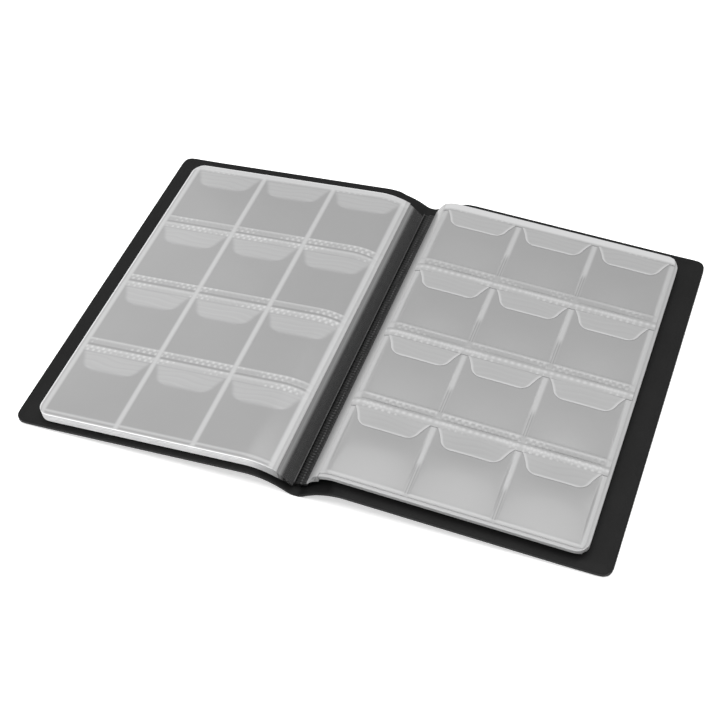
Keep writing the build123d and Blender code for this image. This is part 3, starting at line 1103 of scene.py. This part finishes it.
def make_margins(side, name, numbers):
    """Clear margins of one stack: five upper stretches, and one bundle of lower ones."""
    roots = Mesh()
    film = MARGIN_DARK if side == LEFT else MARGIN_GREY
    for order, number in enumerate(numbers):
        upper, lower = split_line(margin_line(side, order), side)
        depth = len(upper) / MARGIN_POINTS
        film_strip(roots, side, lower, (depth, 1.0))
        mesh = Mesh()
        film_strip(mesh, side, upper, (0.0, depth))
        piece = mesh.build(f"leaf_{number:02d}_margin", film, 60)
        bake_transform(piece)
    piece = roots.build(f"{name}_films", film, 60)
    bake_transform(piece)
    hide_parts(name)


def make_leaves():
    """Both stacks, from their top leaves down; left-hand leaves lie with their pockets down."""
    left_numbers = [LEAVES_PER_SIDE - order for order in range(LEAVES_PER_SIDE)]
    right_numbers = [LEAVES_PER_SIDE + 1 + order for order in range(LEAVES_PER_SIDE)]
    for order, (left, right) in enumerate(zip(left_numbers, right_numbers)):
        base = leaf_base(order)
        top = order == 0
        make_base(left, LEFT, base + LEAF_THICK - SHEET, top, 0.0)
        make_fronts(left, LEFT, base, False)
        make_flaps(left, LEFT, base)
        make_base(right, RIGHT, base, False, INSET_STEP * order)
        make_fronts(right, RIGHT, base, top)
        if top:
            make_knurled_bands(right, base)
            make_free_flaps(base)
        else:
            make_flaps(right, RIGHT, base)
    make_margins(LEFT, "left_margins", left_numbers)
    make_margins(RIGHT, "right_margins", right_numbers)


# ---------------------------------------------------------------- stage, light, camera
CAMERA_PLACE = Vector((0.2016, -0.4674, 0.5551))
CAMERA_AIM = Vector((-0.0006, -0.0133, 0.0))
CAMERA_ROLL = math.radians(5.04)
CAMERA_LENS = 73.9
CAMERA_SENSOR = 36
FLOOR_HALF = 3.0
FLOOR_THICK = 0.01


def make_floor():
    """Plain white floor with its top at height 0."""
    x, y = np.meshgrid(*[np.linspace(-FLOOR_HALF, FLOOR_HALF, 9)] * 2)
    mesh = Mesh()
    mesh.slab(plain_place, x, y, 0 * x, 0 * x - FLOOR_THICK, False)
    material, nodes, links, shader = new_material("paper_sweep")
    cloud = noise(nodes, links, 8, 2)
    links.new(ramp(nodes, links, cloud, ((0.3, 0.93), (0.7, 0.95))), shader.inputs["Base Color"])
    shader.inputs["Roughness"].default_value = 0.9
    shader.inputs["Specular IOR Level"].default_value = 0.1
    shader.inputs["Emission Color"].default_value = (1, 1, 1, 1)
    shader.inputs["Emission Strength"].default_value = 0.4
    floor = mesh.build("floor_sweep", material)


def add_area(name, place, aim, size, power):
    """Rectangular lamp at a place, turned to a point; size in metres, power in watts."""
    light = bpy.data.lights.new(name, "AREA")
    light.shape = "RECTANGLE"
    light.size, light.size_y = size
    light.energy = power
    lamp = bpy.data.objects.new(name, light)
    lamp.location = place
    lamp.rotation_euler = (Vector(aim) - Vector(place)).to_track_quat("-Z", "Y").to_euler()
    bpy.context.scene.collection.objects.link(lamp)


def make_lights():
    """Soft studio light from above, weaker fills, and an even white surround."""
    add_area("overhead_softbox", (0.0, 0.08, 1.3), (0, 0.08, 0), (1.3, 1.35), 19)
    add_area("left_fill", (-1.2, -0.4, 0.9), (0, 0, 0), (0.8, 0.8), 4)
    add_area("front_fill", (0.25, -1.3, 0.4), (0, 0, 0), (1.2, 0.5), 9)
    add_area("gutter_glint", (0.5, 0.8, 0.95), (0, 0, 0), (0.25, 0.5), 1.2)
    add_area("left_back", (-0.9, 0.74, 0.78), (-0.1, 0, 0), (0.5, 0.5), 1.0)
    world = bpy.data.worlds.new("studio")
    bpy.context.scene.world = world
    world.use_nodes = True
    background = world.node_tree.nodes["Background"]
    background.inputs["Color"].default_value = (1, 1, 1, 1)
    background.inputs["Strength"].default_value = 0.38


def make_camera():
    """Camera at the photo's angle."""
    data = bpy.data.cameras.new("camera")
    data.lens = CAMERA_LENS
    data.sensor_width = CAMERA_SENSOR
    data.clip_start = 0.01
    camera = bpy.data.objects.new("camera", data)
    aim = (CAMERA_AIM - CAMERA_PLACE).to_track_quat("-Z", "Y").to_matrix()
    roll = Matrix.Rotation(-CAMERA_ROLL, 3, "Z")
    camera.matrix_world = Matrix.Translation(CAMERA_PLACE) @ (aim @ roll).to_4x4()
    bpy.context.scene.collection.objects.link(camera)
    bpy.context.scene.camera = camera


make_cover()
make_strip()
make_bead()
make_leaves()
make_floor()
make_lights()
make_camera()
bpy.context.scene.view_settings.view_transform = "Standard"
